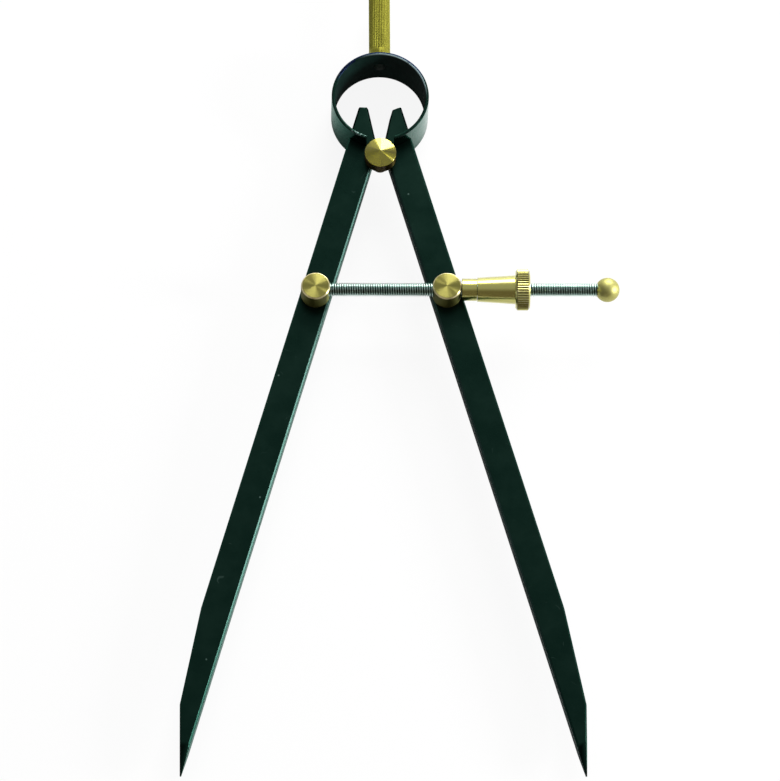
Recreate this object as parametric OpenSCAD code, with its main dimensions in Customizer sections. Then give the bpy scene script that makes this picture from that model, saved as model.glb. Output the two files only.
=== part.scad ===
// Spring divider: two flat legs that rock on a fulcrum stud under a bow spring.
// A nut on a cross screw sets the spread of the points.
// Lengths are in millimetres. The fulcrum axis is Z, the handle points along +Y and
// the front faces +Z. Z is 0 halfway through the legs.

/* [Legs] */
// Length of each leg from the fulcrum axis down to its point
leg_reach = 200; // [150:1:260]
// Width of the bar that each leg is made from
leg_width = 8.8; // [7.6:0.1:10]
// Thickness of the bar, front to back
leg_thickness = 5.5; // [4:0.1:8]
// Angle between each leg and the middle of the tool at rest
leg_half_angle = 16.2; // [13:0.1:19]
// Distance from the fulcrum axis to each leg's inner edge
inner_edge_offset = 1.8; // [1.5:0.05:2.1]
// Width of the chamfer along the front and back edges
edge_chamfer = 0.5; // [0.2:0.05:0.8]
// Length of the tapered stretch, up from the point
taper_length = 50; // [35:1:70]
// Length of the steeper stretch at the point
point_length = 20; // [14:1:30]
// Width of the leg where the steeper stretch starts
point_shoulder = 6.3; // [4.8:0.1:6.8]
// Length of the bevels that thin the point, front and back
point_bevel_length = 9.5; // [6:0.5:14]
// Thickness and width left at the very point
point_flat = 0.4; // [0.2:0.05:0.8]

/* [Tongues] */
// Height of the tongue's outer corner above the fulcrum, along the leg
tongue_height = 14.2; // [10:0.1:15.5]
// Width of the tongue's blunt top
tongue_top = 2.6; // [1.5:0.1:3.2]
// Height above the fulcrum where the tongue's inner edge starts to slope away
tongue_relief_start = 3.1; // [2.6:0.05:3.2]

/* [Bow spring] */
// Outer radius of the bow
bow_radius = 14.3; // [12.8:0.1:17]
// Thickness of the spring strip
bow_thickness = 1; // [0.6:0.05:1.3]
// Width of the spring strip, front to back
bow_width = 16; // [12:0.5:22]
// Distance of each spring end from the middle of the tool
bow_end_offset = 4.1; // [3.8:0.05:4.6]
// Height of each spring end above the fulcrum axis
bow_end_height = 4.4; // [4:0.05:4.8]

/* [Handle] */
// Diameter of the handle's grip
handle_diameter = 6.3; // [5:0.1:8]
// Diameter of the plain foot at the bow, from which it narrows to the grip
handle_foot_diameter = 6.7; // [5.2:0.1:8.4]
// Height of the plain foot above the bow
handle_foot_height = 3.6; // [1.5:0.1:6]
// Length of the handle above the bow
handle_length = 24; // [15:0.5:40]
// Width of the chamfer round the handle's top
handle_chamfer = 0.8; // [0.3:0.1:1.5]
// Diameter of the tenon that passes through the bow
tenon_diameter = 2.4; // [1.8:0.1:3]
// Diameter of the tenon's peened end inside the bow
tenon_peen_diameter = 3.2; // [3.1:0.1:4]
// Height of the tenon's peened end
tenon_peen_height = 0.9; // [0.5:0.1:1.2]

/* [Fulcrum stud] */
// Diameter of the shank that the legs rock on
stud_shank_diameter = 4.8; // [4.4:0.1:5]
// Diameter of the head
stud_head_diameter = 9.2; // [7:0.1:9.6]
// Height of the head's side
stud_head_height = 3.9; // [2:0.1:5]
// Height of the cone on the head
stud_cone_height = 1.5; // [0.5:0.1:2.5]

/* [Swivel posts] */
// Distance of each post below the fulcrum axis, along the leg
post_distance = 47.2; // [40:0.2:60]
// Diameter of the posts
post_diameter = 8.5; // [7.2:0.1:9]
// Height of the posts above the legs' front faces
post_height = 6.5; // [6.3:0.1:9]
// Width of the chamfer round each post's face
post_chamfer = 0.4; // [0.2:0.05:0.8]
// Diameter of the shank that turns in the leg
post_shank_diameter = 4; // [3:0.1:4.4]
// Diameter of the washer behind the leg
washer_diameter = 7.6; // [6.4:0.1:8]
// Thickness of the washer
washer_thickness = 0.8; // [0.5:0.05:1.2]
// Diameter of the peened end behind the washer
post_peen_diameter = 5.6; // [5:0.1:6.2]
// Height of the peened end
post_peen_height = 1; // [0.6:0.05:1.4]

/* [Screw] */
// Outer diameter of the screw
screw_diameter = 4; // [3:0.1:4.4]
// Height of the screw's axis above the legs' front faces
screw_height = 3.5; // [3.4:0.05:4]
// Length of the screw from the left post's axis to the ball
screw_length = 82; // [72:0.2:100]
// Depth of the screw's seat past the left post's axis
screw_seat_depth = 2.6; // [1:0.1:3]
// Diameter of the ball on the screw's end
ball_diameter = 7.1; // [6:0.1:9]
// Depth of the screw in the ball
ball_seat_depth = 4; // [2:0.1:4.5]

/* [Nut and collar] */
// Length of the thrust collar
collar_length = 4.3; // [2.5:0.1:6]
// Diameter of the thrust collar
collar_diameter = 6.5; // [5.6:0.1:6.6]
// Length of the nut's coned sleeve
sleeve_length = 11.1; // [6:0.1:14]
// Diameter of the sleeve at the collar
sleeve_small_diameter = 7; // [5.8:0.1:7.4]
// Diameter of the sleeve at the flange
sleeve_large_diameter = 8.4; // [7.6:0.1:9.4]
// Diameter of the knurled flange
flange_diameter = 12; // [10:0.1:14]
// Width of the knurled flange
flange_width = 4.2; // [2.5:0.1:6]
// Width of the chamfer on the flange's edges
flange_chamfer = 0.6; // [0.2:0.05:0.8]
// Number of knurl teeth round the flange
knurl_teeth = 50; // [36:1:60]
// Depth of the knurl teeth
knurl_depth = 0.25; // [0.15:0.05:0.35]

/* [Fits] */
// Clearance all round a swivelling shank, and under a swivelling head
swivel_clearance = 0.05; // [0.03:0.01:0.1]
// Clearance all round the spring's ends in their slots
slot_clearance = 0.05; // [0.03:0.01:0.1]
// Clearance all round a piece that is pressed or screwed home
seat_clearance = 0.02; // [0.01:0.01:0.05]
// Clearance all round the screw where it slides or turns
screw_clearance = 0.12; // [0.05:0.01:0.2]

/* [Hidden] */
$fn = 96;
// How far a cutting shape runs past what it cuts
cut = 1;

// Leg outline, in the leg's own frame: X outwards from the fulcrum, Y up the leg
leg_front = leg_thickness / 2;
leg_outer = inner_edge_offset + leg_width;
leg_centre = inner_edge_offset + leg_width / 2;
tongue_top_drop = tongue_top * sin(leg_half_angle);
tongue_top_run = tongue_top * cos(leg_half_angle);
leg_outline = [
    [inner_edge_offset, -leg_reach],
    [inner_edge_offset + point_flat, -leg_reach],
    [inner_edge_offset + point_shoulder, -(leg_reach - point_length)],
    [leg_outer, -(leg_reach - taper_length)],
    [leg_outer, tongue_height],
    [leg_outer - tongue_top_run, tongue_height + tongue_top_drop],
    [inner_edge_offset, tongue_relief_start]
];

// Bow: its centre follows from where the ends sit
bow_inner = bow_radius - bow_thickness;
bow_middle = bow_radius - bow_thickness / 2;
bow_end_angle = asin(bow_end_offset / bow_middle);
bow_centre_y = bow_end_height + bow_middle * cos(bow_end_angle);
bow_top_y = bow_centre_y + bow_radius;
slot_end_angle = bow_end_angle - asin(slot_clearance / bow_middle);

// Posts and screw
post_x = leg_centre * cos(leg_half_angle) + post_distance * sin(leg_half_angle);
post_y = leg_centre * sin(leg_half_angle) - post_distance * cos(leg_half_angle);
post_face_z = leg_front + post_height;
post_shank_r = post_shank_diameter / 2;
head_seat_z = leg_front + swivel_clearance;
washer_front_z = -leg_front - swivel_clearance;
washer_back_z = washer_front_z - washer_thickness;
screw_z = leg_front + screw_height;
screw_r = screw_diameter / 2;
ball_x = -post_x + screw_length + sqrt(pow(ball_diameter / 2, 2) - pow(screw_r, 2));

// Collar and nut, along the screw from the right post
collar_x = post_x + post_diameter / 2 + screw_clearance;
nut_x = collar_x + collar_length + screw_clearance;
nut_length = sleeve_length + flange_width;

// A prism along one edge of a convex outline that chamfers its front and back
module edge_prism(from, to) {
    run = to - from;
    cutter = [
        [-cut, leg_front - edge_chamfer - cut],
        [edge_chamfer + cut, leg_front + cut],
        [-cut, leg_front + cut]
    ];
    translate([from.x, from.y, 0])
        rotate([0, 0, atan2(run.y, run.x)])
            rotate([90, 0, 90])
                translate([0, 0, -cut])
                    linear_extrude(norm(run) + 2 * cut)
                        for (side = [0, 1])
                            mirror([0, side])
                                polygon(cutter);
}

// The wedges that thin the point from the front and the back
module point_bevels() {
    wedge = [
        [-leg_reach - cut, point_flat / 2],
        [-leg_reach, point_flat / 2],
        [-leg_reach + point_bevel_length, leg_front],
        [-leg_reach + point_bevel_length, leg_front + cut],
        [-leg_reach - cut, leg_front + cut]
    ];
    rotate([90, 0, 90])
        linear_extrude(leg_outer + cut)
            for (side = [0, 1])
                mirror([0, side])
                    polygon(wedge);
}

// A leg before it is drilled, notched and slotted
module leg_blank() {
    corners = len(leg_outline);
    difference() {
        translate([0, 0, -leg_front])
            linear_extrude(leg_thickness)
                polygon(leg_outline);
        for (i = [0 : corners - 1])
            edge_prism(leg_outline[i], leg_outline[(i + 1) % corners]);
        point_bevels();
    }
}

// The slot for a spring end, round the bow's own centre
module spring_slot() {
    reach = bow_radius + leg_width;
    depth = leg_thickness + 2 * cut;
    bow_gap = [
        [0, 0],
        [reach * sin(slot_end_angle), -reach * cos(slot_end_angle)],
        [reach, -reach],
        [reach, 0]
    ];
    translate([0, bow_centre_y, -depth / 2])
        intersection() {
            difference() {
                cylinder(h = depth, r = bow_radius + slot_clearance);
                translate([0, 0, -cut])
                    cylinder(h = depth + 2 * cut, r = bow_inner - slot_clearance);
            }
            linear_extrude(depth)
                polygon(bow_gap);
        }
}

module finished_leg() {
    depth = leg_thickness + 2 * cut;
    difference() {
        rotate([0, 0, leg_half_angle])
            leg_blank();
        translate([0, 0, -depth / 2])
            cylinder(h = depth, d = stud_shank_diameter + 2 * swivel_clearance);
        translate([post_x, post_y, -depth / 2])
            cylinder(h = depth, r = post_shank_r + swivel_clearance);
        spring_slot();
    }
}

module left_leg() {
    color("darkslategray")
        mirror([1, 0, 0])
            finished_leg();
}

module right_leg() {
    color("darkslategray")
        finished_leg();
}

module bow_spring() {
    color("darkslategray")
        difference() {
            translate([0, bow_centre_y, -bow_width / 2])
                rotate([0, 0, bow_end_angle - 90])
                    rotate_extrude(angle = 360 - 2 * bow_end_angle)
                        translate([bow_inner, 0])
                            square([bow_thickness, bow_width]);
            translate([0, bow_centre_y, 0])
                rotate([-90, 0, 0])
                    cylinder(h = bow_radius + cut, d = tenon_diameter + 2 * seat_clearance);
        }
}

// The handle is turned in one piece with its tenon, and its foot is hollowed to sit on the bow
module handle() {
    handle_r = handle_diameter / 2;
    inside_y = bow_centre_y + bow_inner;
    color("goldenrod") {
        difference() {
            translate([0, bow_top_y - cut, 0])
                rotate([-90, 0, 0])
                    cylinder(h = handle_foot_height + cut, d1 = handle_foot_diameter, d2 = handle_diameter);
            translate([0, bow_centre_y, -handle_foot_diameter])
                cylinder(h = 2 * handle_foot_diameter, r = bow_radius);
        }
        translate([0, bow_top_y + handle_foot_height - cut, 0])
            rotate([-90, 0, 0])
                cylinder(h = handle_length - handle_foot_height - handle_chamfer + cut, r = handle_r);
        translate([0, bow_top_y + handle_length - handle_chamfer, 0])
            rotate([-90, 0, 0])
                cylinder(h = handle_chamfer, r1 = handle_r, r2 = handle_r - handle_chamfer);
        translate([0, inside_y - tenon_peen_height, 0])
            rotate([-90, 0, 0])
                cylinder(h = bow_thickness + tenon_peen_height + cut, d = tenon_diameter);
        tenon_peen(inside_y);
    }
}

// The peened end of the handle's tenon, hollowed on its upper side by the bow's curve
module tenon_peen(inside_y) {
    intersection() {
        translate([0, inside_y, 0])
            rotate([90, 0, 0])
                cylinder(h = tenon_peen_height, d1 = tenon_peen_diameter, d2 = tenon_diameter);
        translate([0, bow_centre_y, -handle_diameter])
            cylinder(h = 2 * handle_diameter, r = bow_inner);
    }
}

module fulcrum_stud() {
    shank_r = stud_shank_diameter / 2;
    head_r = stud_head_diameter / 2;
    rim_z = head_seat_z + stud_head_height;
    color("goldenrod")
        rotate_extrude()
            polygon([
                [0, -leg_front],
                [shank_r, -leg_front],
                [shank_r, head_seat_z],
                [head_r, head_seat_z],
                [head_r, rim_z],
                [0, rim_z + stud_cone_height]
            ]);
}

// A swivel post: a turned head, a shank through the leg and a peened end
module post_body() {
    head_r = post_diameter / 2;
    peen_r = post_peen_diameter / 2;
    peen_end_z = washer_back_z - post_peen_height;
    translate([post_x, post_y, 0])
        rotate_extrude()
            polygon([
                [0, peen_end_z],
                [post_shank_r, peen_end_z],
                [peen_r, washer_back_z],
                [post_shank_r, washer_back_z],
                [post_shank_r, head_seat_z],
                [head_r, head_seat_z],
                [head_r, post_face_z - post_chamfer],
                [head_r - post_chamfer, post_face_z],
                [0, post_face_z]
            ]);
}

module left_post() {
    seat_r = screw_r + seat_clearance;
    color("goldenrod")
        difference() {
            mirror([1, 0, 0])
                post_body();
            translate([-post_x - screw_seat_depth, post_y, screw_z])
                rotate([0, 90, 0])
                    cylinder(h = screw_seat_depth + post_diameter, r = seat_r);
        }
}

module right_post() {
    color("goldenrod")
        difference() {
            post_body();
            translate([post_x - post_diameter, post_y, screw_z])
                rotate([0, 90, 0])
                    cylinder(h = 2 * post_diameter, r = screw_r + screw_clearance);
        }
}

module post_washer(x) {
    color("darkgray")
        translate([x, post_y, washer_back_z])
            difference() {
                cylinder(h = washer_thickness, d = washer_diameter);
                translate([0, 0, -cut])
                    cylinder(h = washer_thickness + 2 * cut, r = post_shank_r + seat_clearance);
            }
}

module left_post_washer() {
    post_washer(-post_x);
}

module right_post_washer() {
    post_washer(post_x);
}

// Places what is turned about +Z so that it lies along the screw, starting at x
module along_screw(x) {
    translate([x, post_y, screw_z])
        rotate([0, 90, 0])
            children();
}

module adjusting_screw() {
    rod = screw_seat_depth + screw_length + ball_seat_depth;
    color("lightsteelblue")
        along_screw(-post_x - screw_seat_depth + seat_clearance)
            cylinder(h = rod - 2 * seat_clearance, r = screw_r);
}

module thrust_collar() {
    color("goldenrod")
        along_screw(collar_x)
            difference() {
                cylinder(h = collar_length, d = collar_diameter);
                translate([0, 0, -cut])
                    cylinder(h = collar_length + 2 * cut, r = screw_r + screw_clearance);
            }
}

// The flange's outline has one point on each tooth and one in each gap
module knurled_disc(height, r) {
    linear_extrude(height)
        polygon([
            for (i = [0 : 2 * knurl_teeth - 1])
                let (tooth_r = i % 2 == 0 ? r : r - knurl_depth, turn = i * 180 / knurl_teeth)
                [tooth_r * cos(turn), tooth_r * sin(turn)]
        ]);
}

module adjusting_nut() {
    flange_r = flange_diameter / 2;
    color("goldenrod")
        along_screw(nut_x)
            difference() {
                union() {
                    cylinder(h = sleeve_length, d1 = sleeve_small_diameter, d2 = sleeve_large_diameter);
                    translate([0, 0, sleeve_length])
                        intersection() {
                            knurled_disc(flange_width, flange_r);
                            flange_blank(flange_r);
                        }
                }
                translate([0, 0, -cut])
                    cylinder(h = nut_length + 2 * cut, r = screw_r + screw_clearance);
            }
}

// The double cone that chamfers the flange's edges, clear of the teeth between its two slopes
module flange_blank(r) {
    run = flange_chamfer + knurl_depth;
    rotate_extrude()
        polygon([
            [0, 0],
            [r - flange_chamfer, 0],
            [r + knurl_depth, run],
            [r + knurl_depth, flange_width - run],
            [r - flange_chamfer, flange_width],
            [0, flange_width]
        ]);
}

// The ball is turned about the screw, from half its section
module end_ball() {
    seat_x = -post_x + screw_length;
    seat_r = screw_r + seat_clearance;
    color("goldenrod")
        along_screw(ball_x)
            rotate_extrude()
                difference() {
                    intersection() {
                        circle(d = ball_diameter);
                        translate([0, -ball_diameter / 2])
                            square([ball_diameter / 2, ball_diameter]);
                    }
                    translate([-cut, seat_x - ball_x - cut])
                        square([seat_r + cut, ball_seat_depth + cut]);
                }
}

left_leg();
right_leg();
bow_spring();
handle();
fulcrum_stud();
left_post();
right_post();
left_post_washer();
right_post_washer();
adjusting_screw();
thrust_collar();
adjusting_nut();
end_ball();
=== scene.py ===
"""Spring divider: detailed pieces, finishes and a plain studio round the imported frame.

Sizes are in millimetres unless a docstring says otherwise, and a mesh is brought to metres when
it becomes an object.
"""

from __future__ import annotations

import logging
import math
from abc import ABC, abstractmethod
from dataclasses import dataclass, field
from enum import Enum, IntEnum
from typing import Any, Callable, Iterable, NamedTuple, Sequence

import bmesh
import bpy
from mathutils import Matrix, Vector

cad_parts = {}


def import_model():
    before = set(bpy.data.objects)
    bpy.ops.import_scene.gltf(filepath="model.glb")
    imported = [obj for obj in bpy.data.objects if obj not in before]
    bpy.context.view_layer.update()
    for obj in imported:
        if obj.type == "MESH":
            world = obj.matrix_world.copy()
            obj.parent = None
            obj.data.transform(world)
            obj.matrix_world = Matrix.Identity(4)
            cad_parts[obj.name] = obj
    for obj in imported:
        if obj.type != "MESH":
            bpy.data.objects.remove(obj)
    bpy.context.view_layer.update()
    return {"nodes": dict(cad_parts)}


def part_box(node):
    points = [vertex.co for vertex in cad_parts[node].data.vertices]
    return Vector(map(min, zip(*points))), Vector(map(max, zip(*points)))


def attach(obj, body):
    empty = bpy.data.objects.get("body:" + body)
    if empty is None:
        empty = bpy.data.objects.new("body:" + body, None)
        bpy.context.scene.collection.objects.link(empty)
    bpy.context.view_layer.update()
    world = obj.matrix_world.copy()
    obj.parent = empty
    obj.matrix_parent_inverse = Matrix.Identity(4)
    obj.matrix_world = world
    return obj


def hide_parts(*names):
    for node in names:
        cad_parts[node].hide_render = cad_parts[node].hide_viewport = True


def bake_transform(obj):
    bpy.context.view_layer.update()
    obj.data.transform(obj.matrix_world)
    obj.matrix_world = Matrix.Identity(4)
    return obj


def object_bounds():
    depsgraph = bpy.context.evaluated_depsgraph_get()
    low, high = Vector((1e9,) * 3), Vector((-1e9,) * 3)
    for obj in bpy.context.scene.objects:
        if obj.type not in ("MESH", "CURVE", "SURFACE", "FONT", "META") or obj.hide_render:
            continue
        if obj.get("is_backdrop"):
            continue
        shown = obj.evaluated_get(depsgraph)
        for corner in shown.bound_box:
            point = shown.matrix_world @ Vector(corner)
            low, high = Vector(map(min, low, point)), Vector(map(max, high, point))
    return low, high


LOG = logging.getLogger("spring_divider")
MM = 0.001
SAME_PLACE = 1e-5
CLOSE = 1e-4
ON_PLANE = 1e-3
CREASE = math.radians(40.0)
FULL_TURN = 2.0 * math.pi
QUARTER = 0.25
SIDES = ("left", "right")
WHITE = (1.0, 1.0, 1.0)
CLOUDY = (4.0, 0.6)
GRAINY = (3.0, 0.6)

Triple = tuple[float, float, float]
Colour = Triple
Span = tuple[float, float]
Material = bpy.types.Material
Mesh = bmesh.types.BMesh
Piece = bpy.types.Object


class Slot(Enum):
    """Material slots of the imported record."""

    LEG_PAINT = "leg_paint"
    SPRING_PAINT = "spring_paint"
    TURNED_BRASS = "turned_brass"
    SCREW_STEEL = "screw_steel"


class LegFace(IntEnum):
    """Faces of a leg by their finish."""

    FLAT = 0
    INNER_SIDE = 1
    INNER_CHAMFER = 2


class BowFace(IntEnum):
    """Faces of the bow by their finish."""

    EDGE = 0
    INSIDE = 1
    WORN = 2
    OUTSIDE = 3
    SCUFFED = 4
    BLUED = 5


class Axis(Enum):
    """Directions that the axis of a turned piece can take."""

    X = "X"
    Y = "Y"
    Z = "Z"

    def place(self, centre: Vector) -> Matrix:
        """Turns local Z onto this axis and moves it.

        Args:
            centre: where the origin goes.

        Returns:
            The matrix.
        """
        turn = {
            Axis.X: Matrix.Rotation(math.pi / 2, 4, "Y"),
            Axis.Y: Matrix.Rotation(-math.pi / 2, 4, "X"),
            Axis.Z: Matrix.Identity(4),
        }[self]
        return Matrix.Translation(centre) @ turn


# Shader maths


def operation(name: str, swapped: bool = False) -> Callable[..., Signal]:
    """Makes a method of Signal that adds one Math node.

    Args:
        name: the node's operation.
        swapped: whether the other value comes first.

    Returns:
        The method, which takes a number or a signal.
    """

    def method(self: Signal, other: Any = 0.0) -> Signal:
        """Adds the node and returns its output."""
        pair = (other, self) if swapped else (self, other)
        return self.graph.node("ShaderNodeMath", {"operation": name}, dict(enumerate(pair)))

    return method


class Signal:
    """A shader socket that can be used in Python expressions."""

    __add__ = __radd__ = operation("ADD")
    __sub__ = operation("SUBTRACT")
    __rsub__ = operation("SUBTRACT", swapped=True)
    __mul__ = __rmul__ = operation("MULTIPLY")
    __truediv__ = operation("DIVIDE")
    __abs__ = operation("ABSOLUTE")
    power = operation("POWER")
    sine = operation("SINE")

    def __init__(self, graph: Graph, socket: bpy.types.NodeSocket | None) -> None:
        """Wraps an output socket of a graph."""
        self.graph = graph
        self.socket = socket

    def swing(self, width: float) -> Signal:
        """Centres noise on 0 and gives it a width."""
        return (self - 0.5) * width

    def between(self, low: float, high: float) -> Signal:
        """Returns a smooth step from 0 at low to 1 at high.

        Args:
            low: value at which the result is 0.
            high: value at which the result is 1, which may lie below low.

        Returns:
            The step as a signal.
        """
        values = {"Value": self, "From Min": min(low, high), "From Max": max(low, high)}
        if low > high:
            values.update({"To Min": 1.0, "To Max": 0.0})
        return self.graph.node("ShaderNodeMapRange", {"interpolation_type": "SMOOTHSTEP"}, values)

    def between_mm(self, low: float, high: float) -> Signal:
        """Returns the same step for a length, with its ends in millimetres."""
        return self.between(low * MM, high * MM)

    def eased(self) -> Signal:
        """Eases a share into the range from 0 to 1."""
        return self.between(0.0, 1.0)


class Graph:
    """Builds the node tree of a material or of the world."""

    def __init__(self, tree: bpy.types.NodeTree) -> None:
        """Empties the tree."""
        self.tree = tree
        tree.nodes.clear()

    def node(
        self,
        kind: str,
        settings: dict[str, Any] | None = None,
        sockets: dict[str | int, Any] | None = None,
        out: str | int = 0,
    ) -> Signal:
        """Adds a node.

        Args:
            kind: the node's type name.
            settings: properties that are set first.
            sockets: input names or places, with the value or the signal that each takes.
            out: the output that is returned.

        Returns:
            The output as a signal.
        """
        made = self.tree.nodes.new(kind)
        for name, value in (settings or {}).items():
            setattr(made, name, value)
        for name, value in (sockets or {}).items():
            if isinstance(value, Signal):
                self.tree.links.new(value.socket, made.inputs[name])
            else:
                opaque = made.inputs[name].type == "RGBA"
                made.inputs[name].default_value = (*value, 1.0) if opaque else value
        return Signal(self, made.outputs[out] if len(made.outputs) else None)

    def outputs(self, signal: Signal, *names: str) -> tuple[Signal, ...]:
        """Returns outputs of a signal's node by their names."""
        return tuple(Signal(self, signal.socket.node.outputs[name]) for name in names)

    def mix(self, share: Any, first: Any, second: Any) -> Signal:
        """Mixes two colours or colour signals, with a share of the second from 0 to 1."""
        return self.node("ShaderNodeMix", {"data_type": "RGBA"}, {"Factor": share, 6: first, 7: second}, 2)

    def place(self, axis: Axis = Axis.Z, centre: Sequence[float] = (0.0, 0.0, 0.0)) -> Signal:
        """Reads Object coordinates with a turned piece's axis on Z.

        Args:
            axis: the piece's axis.
            centre: a point on it, in millimetres.

        Returns:
            The coordinates, in metres.
        """
        here = self.node("ShaderNodeTexCoord", out="Object")
        inverse = axis.place(Vector(centre) * MM).inverted()
        turned = {"Vector": here, "Location": inverse.translation, "Rotation": inverse.to_euler()}
        return self.node("ShaderNodeMapping", {"vector_type": "POINT"}, turned)

    def parts(self, vector: Signal) -> tuple[Signal, ...]:
        """Splits a vector into its three values."""
        return self.outputs(self.node("ShaderNodeSeparateXYZ", None, {0: vector}), "X", "Y", "Z")

    def join(self, *parts: Signal) -> Signal:
        """Makes a vector from its first values."""
        return self.node("ShaderNodeCombineXYZ", None, dict(enumerate(parts)))

    def noise(self, place: Signal, size: float, detail: float = 2.0, rough: float = 0.5) -> Signal:
        """Makes noise round 0.5, with clouds of a size in millimetres and finer layers in them."""
        sockets = {"Vector": place, "Scale": 1.0 / (size * MM), "Detail": detail, "Roughness": rough}
        return self.node("ShaderNodeTexNoise", {"noise_dimensions": "3D"}, sockets)

    def stretch(self, place: Signal, scale: Sequence[float]) -> Signal:
        """Scales coordinates along their axes, which draws a pattern out."""
        return self.node("ShaderNodeMapping", {"vector_type": "POINT"}, {"Vector": place, "Scale": scale})

    def bump(self, height: Signal, strength: float, depth: float) -> Signal:
        """Turns heights from 0 to 1 into a surface normal, for a depth in millimetres."""
        sockets = {"Height": height, "Strength": strength, "Distance": depth * MM}
        return self.node("ShaderNodeBump", None, sockets)

    def surface(self, shader: Signal, output: str = "ShaderNodeOutputMaterial") -> None:
        """Links a shader to the output."""
        self.node(output, None, {"Surface": shader})


def new_material(name: str) -> tuple[Material, Graph]:
    """Makes an empty node material.

    Args:
        name: the material's name.

    Returns:
        The material and its graph.
    """
    material = bpy.data.materials.new(name)
    material.use_nodes = True
    return material, Graph(material.node_tree)


@dataclass(frozen=True)
class Finish(ABC):
    """A finish that one Principled shader makes."""

    name: str

    @abstractmethod
    def sockets(self, graph: Graph) -> dict[str, Any]:
        """Returns the shader's values and links by socket."""

    def material(self) -> Material:
        """Builds the material.

        Returns:
            The material.
        """
        made, graph = new_material(self.name)
        graph.surface(graph.node("ShaderNodeBsdfPrincipled", None, self.sockets(graph)))
        return made


@dataclass(frozen=True)
class EnamelFinish(Finish):
    """Semi-gloss green-black enamel with specks, nicks and short scratches."""

    colour: Colour = (0.0066, 0.0225, 0.0160)
    cloudy: Colour = (0.0090, 0.0262, 0.0190)
    nick: Colour = (0.11, 0.17, 0.15)
    edge_tint: Colour = (0.55, 0.84, 0.74)
    gloss: float = 0.30
    coat: float = 0.0
    coat_gloss: float = 0.12
    cloud_size: float = 9.0
    cloud_share: Span = (0.35, 0.7)
    grain_size: float = 0.32
    grain_depth: float = 0.04
    speck_cell: float = 5.0
    speck_edge: Span = (0.075, 0.035)
    speck_group: float = 17.0
    speck_share: Span = (0.53, 0.60)
    scratch_size: float = 11.0
    scratch_edge: Span = (0.0030, 0.0008)
    scratch_length: float = 3.5
    scratch_share: Span = (0.60, 0.68)
    fade_to: Colour | None = None
    fade_along: Span = (-110.0, -180.0)

    def sockets(self, graph: Graph) -> dict[str, Any]:
        """Works out the enamel.

        Args:
            graph: the material's graph.

        Returns:
            The shader's values and links by socket.
        """
        place = graph.place()
        cloud = graph.noise(place, self.cloud_size, *CLOUDY)
        grain = graph.noise(place, self.grain_size, *GRAINY)
        cells = {"Vector": place, "Scale": 1.0 / (self.speck_cell * MM), "Randomness": 1.0}
        specks = graph.node("ShaderNodeTexVoronoi", {"feature": "F1"}, cells, "Distance")
        group = graph.noise(place, self.speck_group, detail=1.0)
        speck = specks.between(*self.speck_edge) * group.between(*self.speck_share)
        path = graph.noise(place, self.scratch_size, detail=1.0)
        reach = graph.noise(place, self.scratch_length, detail=1.0)
        scratch = abs(path - 0.5).between(*self.scratch_edge) * reach.between(*self.scratch_share)
        wear = (speck + scratch * 0.4).eased()
        base = graph.mix(cloud.between(*self.cloud_share), self.colour, self.cloudy)
        if self.fade_to is not None:
            base = graph.mix(graph.parts(place)[1].between_mm(*self.fade_along), base, self.fade_to)
        height = grain * 0.6 + cloud * 0.4 - wear * 0.8
        return {
            "Base Color": graph.mix(wear * 0.5, base, self.nick),
            "Metallic": 1.0,
            "Roughness": self.gloss + cloud.swing(0.14) + grain.swing(0.12) + wear * 0.2,
            "Specular Tint": self.edge_tint,
            "Coat Weight": self.coat,
            "Coat Roughness": self.coat_gloss,
            "Normal": graph.bump(height, 0.3, self.grain_depth),
        }


@dataclass(frozen=True)
class WornEdgeFinish(Finish):
    """Enamel worn through to pale steel along the bow's front edge."""

    bow_centre: float
    painted_sheen: Colour = (0.0072, 0.0245, 0.0172)
    steel: Colour = (0.36, 0.49, 0.51)
    gloss: float = 0.34
    grain_size: float = 0.5
    grain_depth: float = 0.02
    patch_size: float = 6.0
    patch_share: Span = (0.15, 0.40)
    across_fade: Span = (-7.0, 4.0)
    upwards_fade: Span = (-1.0, 8.0)

    def sockets(self, graph: Graph) -> dict[str, Any]:
        """Works out the worn edge.

        Args:
            graph: the material's graph.

        Returns:
            The shader's values and links by socket.
        """
        place = graph.place(Axis.Z, (0.0, self.bow_centre, 0.0))
        x, y, _ = graph.parts(place)
        patch = graph.noise(place, self.patch_size, *GRAINY)
        grain = graph.noise(place, self.grain_size)
        bare = (patch + grain.swing(0.3)).between(*self.patch_share)
        bare = bare * x.between_mm(*self.across_fade) * y.between_mm(*self.upwards_fade)
        return {
            "Base Color": graph.mix(bare, self.painted_sheen, self.steel),
            "Metallic": 1.0,
            "Roughness": self.gloss + grain.swing(0.15),
            "Normal": graph.bump(grain, 0.3, self.grain_depth),
        }


@dataclass(frozen=True)
class DullFinish(Finish):
    """Dull dark enamel with almost no reflection: painted shade on the bow's inner wall and on the right
    leg's inner side, and plain enamel over the peened tenon.
    """

    colour: Colour = (0.0042, 0.0185, 0.0148)
    cloudy: Colour = (0.0085, 0.0310, 0.0250)
    specular: float = 0.05
    gloss: float = 0.55
    cloud_size: float = 5.0
    cloud_share: Span = (0.35, 0.7)
    grain_size: float = 0.4
    grain_depth: float = 0.05

    def sockets(self, graph: Graph) -> dict[str, Any]:
        """Works out the dull enamel.

        Args:
            graph: the material's graph.

        Returns:
            The shader's values and links by socket.
        """
        place = graph.place()
        cloud = graph.noise(place, self.cloud_size, *CLOUDY)
        grain = graph.noise(place, self.grain_size, *GRAINY)
        return {
            "Base Color": graph.mix(cloud.between(*self.cloud_share), self.colour, self.cloudy),
            "Roughness": self.gloss + grain.swing(0.2),
            "Specular IOR Level": self.specular,
            "Normal": graph.bump(grain, 0.4, self.grain_depth),
        }


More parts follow.
